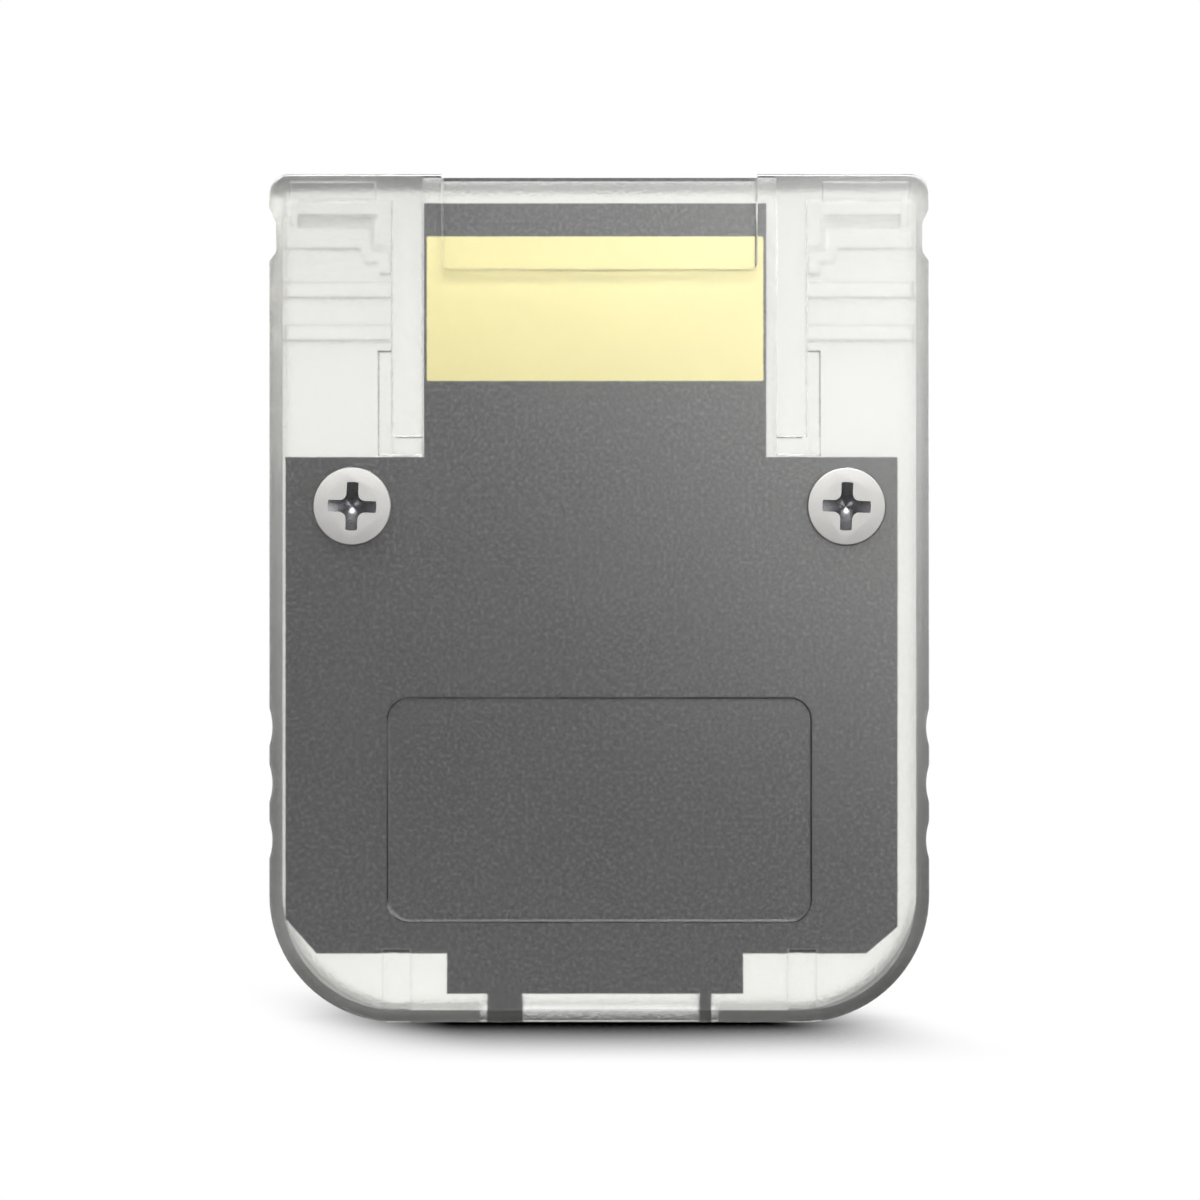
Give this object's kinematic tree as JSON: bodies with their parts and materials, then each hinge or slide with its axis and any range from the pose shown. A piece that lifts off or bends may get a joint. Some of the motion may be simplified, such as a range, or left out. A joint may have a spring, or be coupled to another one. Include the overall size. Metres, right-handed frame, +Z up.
{
  "type": "memory card adapter",
  "caption": "Translucent card-shaped adapter case with a dark circuit board inside, an open connector end and a push-push flash card socket in its grip end",
  "frame": {"origin": "centre of the case's grip end, on which it stands, midway through its thickness", "axes": "+Z up from the grip end to the connector end, +Y from the rear face with the screws to the front face, +X to the right when the rear face is looked at"},
  "size_m": [0.0468, 0.008, 0.06],
  "materials": {
    "shell_plastic": "frosted clear",
    "board_laminate": "matte dark solder mask",
    "gold_plating": "pale gold plating",
    "screw_steel": "bright plated steel",
    "socket_plastic": "moulded black",
    "cover_steel": "stamped stainless",
    "contact_alloy": "plated spring alloy",
    "slider_plastic": "moulded natural white",
    "capacitor_ceramic": "tan ceramic, tinned ends",
    "resistor_ceramic": "dark glazed ceramic, tinned ends"
  },
  "bodies": {
    "case": {"rear_shell": "shell_plastic", "front_shell": "shell_plastic", "circuit_board": "board_laminate", "shield_pad": "gold_plating", "edge_contacts": "gold_plating", "case_screws": "screw_steel", "socket_base": "socket_plastic", "socket_cover": "cover_steel", "cam_pin": "cover_steel", "eject_spring": "cover_steel", "socket_contact_1": "contact_alloy", "socket_contact_2": "contact_alloy", "socket_contact_3": "contact_alloy", "socket_contact_4": "contact_alloy", "socket_contact_5": "contact_alloy", "socket_contact_6": "contact_alloy", "socket_contact_7": "contact_alloy", "socket_contact_8": "contact_alloy", "bulk_capacitor": "capacitor_ceramic", "bypass_capacitor": "capacitor_ceramic", "pull_up_resistor_1": "resistor_ceramic", "pull_up_resistor_2": "resistor_ceramic", "pull_up_resistor_3": "resistor_ceramic", "pull_up_resistor_4": "resistor_ceramic"},
    "slider": {"eject_slider": "slider_plastic"}
  },
  "joints": [
    {"name": "eject_slide", "type": "slide", "parent": "case", "child": "slider", "axis": [0, 0, 1], "range_m": [0, 0.0032], "stiffness_N_per_m": 300, "deforming": ["eject_spring"]}
  ]
}
